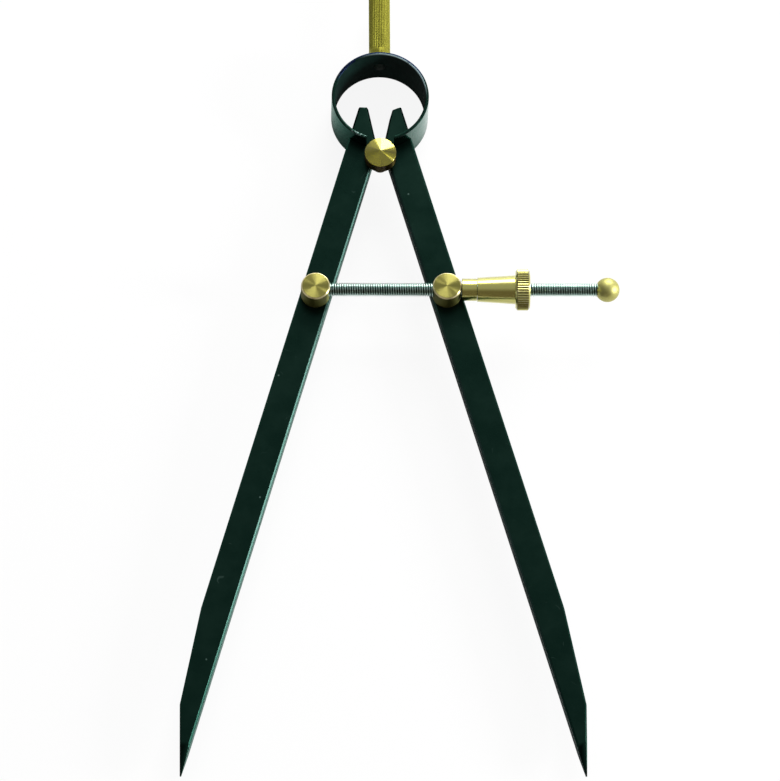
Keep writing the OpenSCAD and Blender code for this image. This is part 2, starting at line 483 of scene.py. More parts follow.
@dataclass(frozen=True)
class BrassFinish(Finish):
    """Turned brass with tool marks round its axis and a little tarnished tone, with painted shade, painted
    reflection and painted highlight where its settings ask for them.
    """

    axis: Axis
    centre: Triple
    colour: Colour = (0.60, 0.575, 0.135)
    tarnish_and_shade: Colour = (0.37, 0.335, 0.055)
    tarnish_share: float = 0.45
    cloud_size: float = 3.2
    cloud_share: Span = (0.42, 0.78)
    gloss: float = 0.24
    mark_step: float = 0.16
    mark_depth: float = 0.004
    wander_size: float = 1.3
    wander: float = 0.8
    fine_size: float = 0.07
    anisotropy: float = 0.0
    # Painted shade in the grooves: the colour darkens between these radii.
    groove_floor: float = 0.0
    groove_top: float = 0.0
    groove_shade: float = 1.0
    groove_reach: Span = (0.15, 0.08)
    streaks: float = 0.0
    streak_size: float = 0.5
    streak_stretch: float = 0.05
    streak_share: Span = (0.35, 0.65)
    pit_size: float = 0.55
    pit_share: Span = (0.60, 0.68)
    # Painted shade: below this height the colour darkens and the coat fades.
    painted_shade_below: float | None = None
    painted_shade_share: float = 1.0
    painted_shade_edge: float = 0.1
    # Painted reflection: darker wedges round the axis, like the wedge-shaped glints of turned brass.
    painted_reflection_sectors: float = 0.0
    sector_size: float = 0.55
    sector_share: Span = (0.42, 0.66)
    # A burnished edge that is also a painted highlight: a pale ring beyond this radius.
    burnished_highlight_from: float | None = None
    burnished_highlight_colour: Colour = (0.85, 0.75, 0.42)
    burnished_highlight_edge: float = 0.05
    coat: float = 0.0
    coat_gloss: float = 0.1
    coat_ior: float = 1.9

    def sockets(self, graph: Graph) -> dict[str, Any]:
        """Works out the brass.

        Args:
            graph: the material's graph.

        Returns:
            The shader's values and links by socket.
        """
        place = graph.place(self.axis, self.centre)
        x, y, z = graph.parts(place)
        radius = (x * x + y * y).power(0.5)
        run = (radius + z) / (self.mark_step * MM) + graph.noise(place, self.wander_size) * self.wander
        marks = (run * FULL_TURN).sine() * 0.5 + 0.5
        fine = graph.noise(graph.node("ShaderNodeCombineXYZ", None, {0: radius, 2: z}), self.fine_size)
        cloud = graph.noise(place, self.cloud_size, detail=4.0, rough=0.62)
        stain_and_shade = cloud.between(*self.cloud_share) * self.tarnish_share
        coat: Any = self.coat
        rim: Signal | None = None
        # Burnished edge and painted highlight: a pale ring round the face.
        if self.burnished_highlight_from is not None:
            rim = radius.between_mm(self.burnished_highlight_from - self.burnished_highlight_edge, self.burnished_highlight_from + self.burnished_highlight_edge)
        # Painted reflection: darker wedges round the axis.
        if self.painted_reflection_sectors > 0.0:
            sector = graph.noise(graph.join(*(part / radius * MM for part in (x, y))), self.sector_size)
            stain_and_shade = stain_and_shade + sector.between(*self.sector_share) * self.painted_reflection_sectors
        # Painted shade in the grooves of the knurl and of the flange's teeth.
        if self.groove_top > 0.0:
            depth = radius.between_mm(self.groove_top, self.groove_floor)
            reach = radius.between_mm(*(self.groove_floor - margin for margin in self.groove_reach))
            stain_and_shade = (stain_and_shade + depth * reach * self.groove_shade).eased()
        # Painted shade below a height, where the coat and the pale rim also stop.
        if self.painted_shade_below is not None:
            under = z.between_mm(self.painted_shade_below + self.painted_shade_edge, self.painted_shade_below - self.painted_shade_edge)
            stain_and_shade = (stain_and_shade + under * self.painted_shade_share).eased()
            if self.coat > 0.0:
                coat = (1.0 - under) * self.coat
            if rim is not None:
                rim = rim * (1.0 - under)
        if self.streaks > 0.0:
            drawn = graph.noise(graph.stretch(place, (1.0, 1.0, self.streak_stretch)), self.streak_size)
            pits = graph.noise(place, self.pit_size, detail=1.0).between(*self.pit_share)
            stain_and_shade = (stain_and_shade + (drawn.between(*self.streak_share) + pits) * self.streaks).eased()
        # The tarnished tone and the painted shade mix towards the same dark colour.
        colour = graph.mix(stain_and_shade, self.colour, self.tarnish_and_shade)
        if rim is not None:
            colour = graph.mix(rim, colour, self.burnished_highlight_colour)
        return {
            "Base Color": colour,
            "Metallic": 1.0,
            "Roughness": self.gloss + fine.swing(0.10) + stain_and_shade * 0.10,
            "Anisotropic": self.anisotropy,
            "Anisotropic Rotation": QUARTER,
            "Coat Weight": coat,
            "Coat Roughness": self.coat_gloss,
            "Coat IOR": self.coat_ior,
            "Normal": graph.bump(marks * 0.6 + fine * 0.7, 0.4, self.mark_depth),
        }


@dataclass(frozen=True)
class SteelFinish(Finish):
    """Dull zinc plated steel, cool and slightly clouded, with painted shade in the roots of the thread."""

    axis: Axis
    centre: Triple
    colour: Colour = (0.62, 0.80, 0.73)
    shade: Colour = (0.42, 0.57, 0.51)
    # Painted shade: a near-black colour for the thread's roots.
    root: Colour = (0.012, 0.030, 0.025)
    root_radius: float = 1.62
    crest_radius: float = 1.82
    gloss: float = 0.26
    cloud_size: float = 2.6
    cloud_share: Span = (0.38, 0.75)
    grain_size: float = 0.12
    grain_depth: float = 0.008

    def sockets(self, graph: Graph) -> dict[str, Any]:
        """Works out the plated steel.

        Args:
            graph: the material's graph.

        Returns:
            The shader's values and links by socket.
        """
        place = graph.place(self.axis, self.centre)
        x, y, _ = graph.parts(place)
        cloud = graph.noise(place, self.cloud_size, *CLOUDY)
        grain = graph.noise(place, self.grain_size)
        plate = graph.mix(cloud.between(*self.cloud_share), self.colour, self.shade)
        # Painted shade towards the roots of the thread.
        sunk = (x * x + y * y).power(0.5).between_mm(self.crest_radius, self.root_radius)
        return {
            "Base Color": graph.mix(sunk, plate, self.root),
            "Metallic": 1.0,
            "Roughness": self.gloss + cloud.swing(0.15) + grain.swing(0.12),
            "Normal": graph.bump(grain, 0.3, self.grain_depth),
        }


# Meshes


class Corner(NamedTuple):
    """One corner of a turned section."""

    radius: float
    height: float
    rounding: float = 0.0


def whole(mesh: Mesh) -> list[Any]:
    """Lists a mesh's vertices, edges and faces."""
    return mesh.verts[:] + mesh.edges[:] + mesh.faces[:]


def round_edges(
    mesh: Mesh, edges: Iterable[bmesh.types.BMEdge], size: float, steps: int = 3, clamp: bool = True
) -> None:
    """Rounds edges with a bevel.

    Args:
        mesh: the mesh that holds the edges.
        edges: the edges to round.
        size: width taken from each side.
        steps: faces across the rounding.
        clamp: whether roundings stop where they would meet.
    """
    shape = {"segments": steps, "profile": 0.5, "affect": "EDGES", "material": -1, "clamp_overlap": clamp}
    bmesh.ops.bevel(mesh, geom=list(edges), offset=size, offset_type="OFFSET", **shape)


def ring_edges(mesh: Mesh, corner: Corner) -> list[bmesh.types.BMEdge]:
    """Finds the edges that a section's corner left round the axis.

    Args:
        mesh: the turned mesh.
        corner: the corner.

    Returns:
        The edges.
    """
    return [
        edge
        for edge in mesh.edges
        if all(
            abs(math.hypot(vert.co.x, vert.co.y) - corner.radius) < SAME_PLACE
            and abs(vert.co.z - corner.height) < SAME_PLACE
            for vert in edge.verts
        )
    ]


def tidy(mesh: Mesh) -> None:
    """Merges doubles and turns the faces outwards."""
    bmesh.ops.remove_doubles(mesh, verts=mesh.verts[:], dist=SAME_PLACE)
    bmesh.ops.recalc_face_normals(mesh, faces=mesh.faces[:])


def spin(
    mesh: Mesh, geom: list[Any], angle: float, steps: int, rise: float = 0.0, merge: bool = False
) -> list[Any]:
    """Spins vertices and edges round Z.

    Args:
        mesh: the mesh that holds them.
        geom: what is spun.
        angle: the whole turn, in radians.
        steps: faces along the turn.
        rise: climb of each step.
        merge: whether the last step meets the first.

    Returns:
        The last copy.
    """
    turn = {"cent": (0.0, 0.0, 0.0), "axis": (0.0, 0.0, 1.0), "dvec": (0.0, 0.0, rise), "angle": angle}
    return bmesh.ops.spin(mesh, geom=geom, steps=steps, use_merge=merge, **turn)["geom_last"]


def cut_off(mesh: Mesh, point: Vector, outwards: Vector) -> None:
    """Cuts a mesh off at a plane and closes it there.

    Args:
        mesh: the mesh to cut.
        point: a point on the plane.
        outwards: the plane's normal, towards what is taken away.
    """
    bmesh.ops.bisect_plane(mesh, geom=whole(mesh), plane_co=point, plane_no=outwards, clear_outer=True)
    rim = [
        edge
        for edge in mesh.edges
        if edge.is_boundary and all(abs((vert.co - point).dot(outwards)) < ON_PLANE for vert in edge.verts)
    ]
    bmesh.ops.edgeloop_fill(mesh, edges=rim)


def turn_section(section: Iterable[Sequence[float]], steps: int = 96) -> Mesh:
    """Spins a half section round Z into a closed solid.

    Args:
        section: corners from the axis out and back, or round a loop that is clear of the axis, each
            with its radius, its height and the rounding that it may have.
        steps: faces round the axis.

    Returns:
        The solid, with its corners rounded.
    """
    corners = [Corner(*values) for values in section]
    mesh = bmesh.new()
    verts = [mesh.verts.new((corner.radius, 0.0, corner.height)) for corner in corners]
    edges = [mesh.edges.new(pair) for pair in zip(verts, verts[1:])]
    if corners[0].radius > 0.0:
        edges.append(mesh.edges.new((verts[-1], verts[0])))
    spin(mesh, verts + edges, FULL_TURN, steps, merge=True)
    tidy(mesh)
    for corner in corners:
        if corner.rounding > 0.0:
            round_edges(mesh, ring_edges(mesh, corner), corner.rounding)
    return mesh


def turn_ring(hole: float, rim: float, heights: Span, roundings: Span) -> Mesh:
    """Turns a plain ring from its hole, its rim, and the heights and outer roundings of its two ends."""
    ends = [(rim, height, rounding) for height, rounding in zip(heights, roundings)]
    return turn_section([(hole, heights[0]), *ends, (hole, heights[1])])


def box_mm(node: str) -> tuple[Vector, Vector]:
    """Returns a node's lowest and highest corners in millimetres."""
    low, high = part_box(node)
    return low / MM, high / MM


def plain_object(name: str, mesh: Mesh) -> Piece:
    """Links a mesh in millimetres to the scene as an object in metres.

    Args:
        name: the object's name.
        mesh: the mesh, which is freed.

    Returns:
        The new object.
    """
    mesh.transform(Matrix.Scale(MM, 4))
    data = bpy.data.meshes.new(name)
    mesh.to_mesh(data)
    mesh.free()
    made = bpy.data.objects.new(name, data)
    bpy.context.scene.collection.objects.link(made)
    return made


def bore(piece: Piece, cutter: Mesh) -> None:
    """Cuts a shape out of a piece for good.

    Args:
        piece: the piece in metres.
        cutter: the shape to take away, in millimetres.
    """
    tool = plain_object(piece.name + "_cutter", cutter)
    cut = piece.modifiers.new("bore", "BOOLEAN")
    cut.operation = "DIFFERENCE"
    cut.solver = "EXACT"
    cut.object = tool
    bpy.context.view_layer.update()
    shaped = piece.evaluated_get(bpy.context.evaluated_depsgraph_get())
    data = bpy.data.meshes.new_from_object(shaped)
    piece.modifiers.clear()
    piece.data = data
    bpy.data.objects.remove(tool)


def rod(radius: float, length: float, axis: Axis, centre: Vector, sides: int = 64) -> Mesh:
    """Makes a plain cylinder for cutting.

    Args:
        radius: the cylinder's radius.
        length: its length.
        axis: its direction.
        centre: its middle.
        sides: faces round it.

    Returns:
        The cylinder.
    """
    mesh = bmesh.new()
    bmesh.ops.create_cone(mesh, cap_ends=True, segments=sides, radius1=radius, radius2=radius, depth=length)
    mesh.transform(axis.place(centre))
    return mesh


@dataclass(frozen=True)
class Fitting:
    """What a piece stands for, and where it belongs."""

    node: str
    word: str
    body: str
    slot: Slot

    @property
    def name(self) -> str:
        """Names the piece after its node."""
        return f"{self.node}_{self.word}"


class SubAssembly(ABC):
    """A group of pieces that are built and dressed together."""

    @abstractmethod
    def build(self) -> list[Piece]:
        """Builds the pieces and returns them."""

    def attach(self, piece: Piece, fitting: Fitting) -> Piece:
        """Makes a piece ride on its body."""
        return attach(piece, fitting.body)

    def mount(self, mesh: Mesh, fitting: Fitting, *materials: Material, cutter: Mesh | None = None) -> Piece:
        """Makes a piece with its finish and shading, which stands for its node.

        Args:
            mesh: the mesh, in place and in millimetres.
            fitting: the piece's node, body and slot.
            materials: its finishes, in the order of its faces' numbers.
            cutter: a shape that is cut out of it.

        Returns:
            The piece.
        """
        piece = plain_object(fitting.name, mesh)
        if cutter is not None:
            bore(piece, cutter)
        for material in materials:
            piece.data.materials.append(material)
        piece.data.shade_smooth()
        piece.data.set_sharp_from_angle(angle=CREASE)
        normals = piece.modifiers.new("even_normals", "WEIGHTED_NORMAL")
        normals.weight = 100
        normals.keep_sharp = True
        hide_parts(fitting.node)
        return self.attach(piece, fitting)


@dataclass
class Legs(SubAssembly):
    """The two flat painted legs."""

    nodes: dict[str, Piece]
    paint: Material
    # Inner sides: the left one is painted lighter as if lit, the right one dull and dark as painted shade.
    inner_sides_lit_and_shaded: dict[str, Material]
    # Worn edge and painted highlight on the inner chamfers.
    rubbed_edge_highlight: Material
    merge: float = 0.002
    flat_angle: float = 0.5
    sharp_angle: float = 24.0
    shortest_edge: float = 0.6
    tip_margin: float = 3.0
    edge_rounding: float = 0.09
    rounding_steps: int = 2
    filed_slope: dict[str, float] = field(default_factory=lambda: {"left": 4.0, "right": 24.0})
    tongue_tip: float = 1.8
    top_margin: float = 0.01
    top_cut: float = 0.02
    corner_cut: float = 0.22
    corner_tilt: float = 50.0
    side_facing: float = 0.7
    chamfer_facing: float = 0.4

    def leg_mesh(self, side: str) -> Mesh:
        """Copies a leg's solid and softens its sharp edges.

        Args:
            side: "left" or "right".

        Returns:
            The leg in millimetres.
        """
        mesh = bmesh.new()
        mesh.from_mesh(self.nodes[side + "_leg"].data)
        mesh.transform(Matrix.Scale(1.0 / MM, 4))
        bmesh.ops.remove_doubles(mesh, verts=mesh.verts[:], dist=self.merge)
        flat = math.radians(self.flat_angle)
        bmesh.ops.dissolve_limit(mesh, angle_limit=flat, verts=mesh.verts[:], edges=mesh.edges[:])
        self.file_tongue(mesh, self.filed_slope[side])
        tip = min(vert.co.y for vert in mesh.verts) + self.tip_margin
        sharp = [
            edge
            for edge in mesh.edges
            if len(edge.link_faces) == 2
            and edge.calc_face_angle(0.0) > math.radians(self.sharp_angle)
            and edge.calc_length() > self.shortest_edge
            and min(vert.co.y for vert in edge.verts) > tip
        ]
        round_edges(mesh, sharp, self.edge_rounding, self.rounding_steps, clamp=False)
        for face in mesh.faces:
            middle = face.calc_center_median()
            inwards = face.normal.x * math.copysign(1.0, -middle.x)
            # Inner sides and inner chamfers get their own finishes, which carry painted light.
            if middle.y < 0.0 and inwards > self.side_facing:
                face.material_index = LegFace.INNER_SIDE
            elif middle.y < 0.0 and min(inwards, face.normal.z) > self.chamfer_facing:
                face.material_index = LegFace.INNER_CHAMFER
        return mesh

    def file_tongue(self, mesh: Mesh, slope: float) -> None:
        """Files the top of the tongue down towards the middle of the tool, and takes off its two corners.

        Args:
            mesh: the leg in millimetres.
            slope: the top's slope in degrees.
        """
        top = max(vert.co.y for vert in mesh.verts)
        highest = [vert.co for vert in mesh.verts if vert.co.y > top - self.top_margin]
        corner = max(highest, key=lambda co: abs(co.x)).copy()
        for tilt in (0.0, self.corner_tilt, -self.corner_tilt):
            lean = math.copysign(1.0, corner.x) * math.radians(slope + tilt)
            normal = Vector((-math.sin(lean), math.cos(lean), 0.0))
            if tilt:
                tip = max(vert.co.dot(normal) for vert in mesh.verts if vert.co.y > top - self.tongue_tip)
                reach = tip - self.corner_cut
            else:
                reach = corner.dot(normal) - self.top_cut
            cut_off(mesh, normal * reach, normal)
        bmesh.ops.recalc_face_normals(mesh, faces=mesh.faces[:])

    def build(self) -> list[Piece]:
        """Builds both legs.

        Returns:
            The legs.
        """
        made = []
        for side in SIDES:
            node = side + "_leg"
            fitting = Fitting(node, "bar", node, Slot.LEG_PAINT)
            finishes = (self.paint, self.inner_sides_lit_and_shaded[side], self.rubbed_edge_highlight)
            made.append(self.mount(self.leg_mesh(side), fitting, *finishes))
        return made


@dataclass
class BowSpring(SubAssembly):
    """The bow spring, in two halves."""

    paint: Material
    # Painted shade for the inner wall.
    inside: Material
    worn: Material
    # Outer faces by side, with painted sheen: the right half's coat is heavier.
    outside_sheen_by_side: dict[str, Material]
    scuffed: Material
    blued: Material
    thickness: float = 1.0
    end_offset: float = 4.1
    edge_rounding: float = 0.27
    edge_angle: float = 1.0
    wall_facing: float = 0.9
    worn_width: float = 0.5
    worn_between: Span = (-32.0, 95.0)
    blued_within: float = 72.0
    scuffed_from: float = -132.0
    seam_step: float = 0.0008
    steps: int = 120
    tenon_hole: float = 1.22
    hole_length: float = 6.0
    bend_start: float = 30.0
    bend_end: float = 9.5

    def half_mesh(self, side: int) -> Mesh:
        """Spins half of the strip from its end in the leg up to the seam under the handle.

        Args:
            side: -1 for the left half and 1 for the right half.

        Returns:
            The half strip.
        """
        low, high = box_mm("bow_spring")
        outer = (high.x - low.x) / 2
        inner = outer - self.thickness
        worn = inner + self.worn_width
        end_angle = math.asin(self.end_offset / (outer - self.thickness / 2))
        section = ((inner, low.z), (outer, low.z), (outer, high.z), (worn, high.z), (inner, high.z))
        mesh = bmesh.new()
        verts = [
            mesh.verts.new((radius * math.sin(end_angle) * side, -radius * math.cos(end_angle), height))
            for radius, height in section
        ]
        ring = verts + [mesh.edges.new(pair) for pair in zip(verts, verts[1:] + verts[:1])]
        sweep = math.pi - end_angle - self.seam_step
        for angle, steps in ((sweep, self.steps), (self.seam_step, 1)):
            ring = spin(mesh, ring, angle * side, steps)
        ends = [edge for edge in mesh.edges if edge.is_boundary]
        bmesh.ops.holes_fill(mesh, edges=ends, sides=len(section))
        tidy(mesh)
        along = [
            edge
            for edge in mesh.edges
            if abs(edge.verts[0].co.z - edge.verts[1].co.z) < SAME_PLACE
            and abs(edge.verts[0].co.xy.length - edge.verts[1].co.xy.length) < CLOSE
            and edge.calc_face_angle(0.0) > self.edge_angle
        ]
        round_edges(mesh, along, self.edge_rounding)
        for face in mesh.faces:
            face.material_index = self.finish_of(face, worn)
        mesh.transform(Matrix.Translation((0.0, high.y - outer, 0.0)))
        return mesh

    def finish_of(self, face: bmesh.types.BMFace, worn: float) -> BowFace:
        """Chooses a face's finish, while the bow's centre is at the origin.

        Args:
            face: a face of the strip.
            worn: outer radius of the worn line.

        Returns:
            The finish's number.
        """
        middle = face.calc_center_median()
        facing = face.normal.xy.dot(middle.xy.normalized())
        turn = math.degrees(math.atan2(middle.x, middle.y))
        # Inner wall gets painted shade, the outer face its side's painted sheen.
        if abs(facing) > self.wall_facing:
            return BowFace.INSIDE if facing < 0.0 else BowFace.OUTSIDE
        if middle.z > 0.0:
            if middle.xy.length < worn and self.worn_between[0] < turn < self.worn_between[1]:
                return BowFace.WORN
            if abs(turn) < self.blued_within:
                return BowFace.BLUED
            if turn < self.scuffed_from:
                return BowFace.SCUFFED
        return BowFace.EDGE

    def build(self) -> list[Piece]:
        """Builds both halves.

        Returns:
            The halves.
        """
        top = Vector((0.0, box_mm("bow_spring")[1].y, 0.0))
        made = []
        for side, word in zip((-1, 1), SIDES):
            fitting = Fitting("bow_spring", word + "_half", "bow", Slot.SPRING_PAINT)
            finishes = (self.paint, self.inside, self.worn, self.outside_sheen_by_side[word], self.scuffed, self.blued)
            hole = rod(self.tenon_hole, self.hole_length, Axis.Y, top)
            made.append(self.mount(self.half_mesh(side), fitting, *finishes, cutter=hole))
        return made

    def attach(self, piece: Piece, fitting: Fitting) -> Piece:
        """Bakes a half's placement into its mesh, and leaves it on no body.

        Args:
            piece: the half.
            fitting: not used.

        Returns:
            The half.
        """
        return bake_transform(piece)


@dataclass
class Handle(SubAssembly):
    """The knurled brass handle, riveted through the bow."""

    brass: Material
    peen: Material
    tenon_radius: float = 1.2
    peen_radius: float = 1.6
    peen_height: float = 0.9
    peen_dome: tuple[Span, ...] = ((0.0, 0.0), (0.7, 0.02), (1.15, 0.16), (1.45, 0.5))
    strip: float = 1.0
    seat_radii: tuple[float, ...] = (1.8, 2.4, 2.9)
    foot_radius: float = 3.35
    foot_top_radius: float = 3.17
    foot_height: float = 3.6
    foot_step: float = 0.25
    grip_radius: float = 3.15
    top_chamfer: float = 0.8
    top_softening: float = 0.1
    ridges: int = 36
    ridge_depth: float = 0.13
    cross_step: float = 0.8
    cross_depth: float = 0.02
    run_out: float = 0.5
    ring_step: float = 0.2
    points_on_ridge: int = 6

    def section(self, under: float, over: float, top: float) -> list[Span]:
        """Lists the corners from the peened end up to the top.

        Args:
            under: height of the bow's inner face.
            over: height of the bow's outer face.
            top: height of the handle's end.

        Returns:
            The half section.
        """
        corners = [(radius, under - self.peen_height + rise) for radius, rise in self.peen_dome]
        corners += [(self.peen_radius, under), (self.tenon_radius, under)]
        corners += [(radius, over) for radius in (self.tenon_radius, *self.seat_radii, self.foot_radius)]
        corners.append((self.foot_top_radius, over + self.foot_height - self.foot_step))
        low, high = over + self.foot_height, top - self.top_chamfer
        count = round((high - low) / self.ring_step)
        corners += [(self.grip_radius, low + (high - low) * i / count) for i in range(count + 1)]
        flat = self.grip_radius - self.top_chamfer
        corners.append((flat + self.top_softening, top - self.top_softening))
        return corners + [(flat - self.top_softening, top), (0.0, top)]

    def knurl(self, turn: float, height: float, low: float, high: float) -> float:
        """Gives the depth of the knurl at a place on the grip.

        Args:
            turn: angle round the handle.
            height: height on the handle.
            low: where the grip starts.
            high: where it ends.

        Returns:
            The depth below the grip's surface.
        """
        wave = abs((turn * self.ridges / FULL_TURN) % 1.0 - 0.5) * 2.0
        cross = 0.5 - 0.5 * math.cos(FULL_TURN * (height - low) / self.cross_step)
        ends = min(1.0, (height - low) / self.run_out, (high - height) / self.run_out)
        return max(0.0, ends) * (self.ridge_depth * wave + self.cross_depth * cross)

    def build(self) -> list[Piece]:
        """Builds the handle.

        Returns:
            The handle alone.
        """
        bow_low, bow_high = box_mm("bow_spring")
        outer = (bow_high.x - bow_low.x) / 2
        over, under = bow_high.y, bow_high.y - self.strip
        top = box_mm("handle")[1].y
        low, high = over + self.foot_height, top - self.top_chamfer
        mesh = turn_section(self.section(under, over, top), self.ridges * self.points_on_ridge)
        for vert in mesh.verts:
            x, y, z = vert.co
            for height, bend in ((over, outer), (under, outer - self.strip)):
                if abs(z - height) < SAME_PLACE:
                    vert.co.z += math.sqrt(bend**2 - x**2) - bend
            if low <= z <= high:
                sunk = 1.0 - self.knurl(math.atan2(y, x), z, low, high) / self.grip_radius
                vert.co.x, vert.co.y = x * sunk, y * sunk
        for face in mesh.faces:
            face.material_index = int(face.calc_center_median().z < under)
        mesh.transform(Axis.Y.place(Vector()))
        fitting = Fitting("handle", "grip", "bow", Slot.TURNED_BRASS)
        return [self.mount(mesh, fitting, self.brass, self.peen)]


@dataclass
class FulcrumStud(SubAssembly):
    """The coned brass stud that the legs rock on."""

    brass: Material
    shank_radius: float = 2.4
    shank_rounding: float = 0.25
    seat: float = 2.8
    seat_rounding: float = 0.15
    rim: float = 6.7
    rim_rounding: float = 0.1
    tip_radius: float = 0.03
    steps: int = 128

    def build(self) -> list[Piece]:
        """Builds the stud.

        Returns:
            The stud alone.
        """
        low, high = box_mm("fulcrum_stud")
        head = (high.x - low.x) / 2
        section = [
            (0.0, low.z),
            (self.shank_radius, low.z, self.shank_rounding),
            (self.shank_radius, self.seat),
            (head, self.seat, self.seat_rounding),
            (head, self.rim, self.rim_rounding),
            (self.tip_radius, high.z - (high.z - self.rim) * self.tip_radius / head),
            (0.0, high.z),
        ]
        fitting = Fitting("fulcrum_stud", "head", "bow", Slot.TURNED_BRASS)
        return [self.mount(turn_section(section, self.steps), fitting, self.brass)]


@dataclass
class SwivelPosts(SubAssembly):
    """The two brass swivel posts and the washers behind the legs."""

    brass: dict[str, Material]
    steel: Material
    shank_radius: float = 2.0
    seat: float = 2.8
    edge_rounding: float = 0.1
    face_chamfer: float = 0.4
    face_rounding: float = 0.34
    peen_radius: float = 2.8
    peen_shape: tuple[Triple, ...] = ((1.4, 0.0, 0.2), (2.2, 0.3, 0.15))
    steps: int = 128
    seat_depth: float = 2.6
    seat_radius: float = 2.02
    drill_margin: float = 2.0
    slide_radius: float = 2.12
    slide_heads: float = 4.0
    washer_hole: float = 2.02
    washer_rounding: float = 0.12
    bodies: dict[str, str] = field(default_factory=lambda: {"left": "screw", "right": "slide_post"})

    def post(self, side: str) -> Piece:
        """Turns one post and drills it for the screw.

        Args:
            side: "left" or "right".

        Returns:
            The post.
        """
        node = side + "_post"
        low, high = box_mm(node)
        back = box_mm(node + "_washer")[0].z
        head = (high.x - low.x) / 2
        centre = Vector(((low.x + high.x) / 2, (low.y + high.y) / 2, 0.0))
        section = [
            (0.0, low.z),
            *((radius, low.z + rise, rounding) for radius, rise, rounding in self.peen_shape),
            (self.peen_radius, back, self.edge_rounding),
            (self.shank_radius, back),
            (self.shank_radius, self.seat),
            (head, self.seat, self.edge_rounding),
            (head, high.z - self.face_chamfer, self.face_rounding),
            (head - self.face_chamfer, high.z, self.edge_rounding),
            (0.0, high.z),
        ]
        mesh = turn_section(section, self.steps)
        mesh.transform(Matrix.Translation(centre))
        screw_low, screw_high = box_mm("adjusting_screw")
        on_screw = centre + Vector((0.0, 0.0, (screw_low.z + screw_high.z) / 2))
        if side == "left":
            run = self.seat_depth + head + self.drill_margin
            middle = on_screw + Vector((run / 2 - self.seat_depth, 0.0, 0.0))
            hole = rod(self.seat_radius, run, Axis.X, middle)
        else:
            hole = rod(self.slide_radius, self.slide_heads * head, Axis.X, on_screw)
        fitting = Fitting(node, "turned", self.bodies[side], Slot.TURNED_BRASS)
        return self.mount(mesh, fitting, self.brass[side], cutter=hole)

    def washer(self, side: str) -> Piece:
        """Turns one washer.

        Args:
            side: "left" or "right".

        Returns:
            The washer.
        """
        node = side + "_post_washer"
        low, high = box_mm(node)
        rim = (high.x - low.x) / 2
        mesh = turn_ring(self.washer_hole, rim, (low.z, high.z), (self.washer_rounding,) * 2)
        mesh.transform(Matrix.Translation(((low.x + high.x) / 2, (low.y + high.y) / 2, 0.0)))
        fitting = Fitting(node, "plate", self.bodies[side], Slot.SCREW_STEEL)
        return self.mount(mesh, fitting, self.steel)

    def build(self) -> list[Piece]:
        """Builds the posts and the washers."""
        return [make(side) for side in SIDES for make in (self.post, self.washer)]


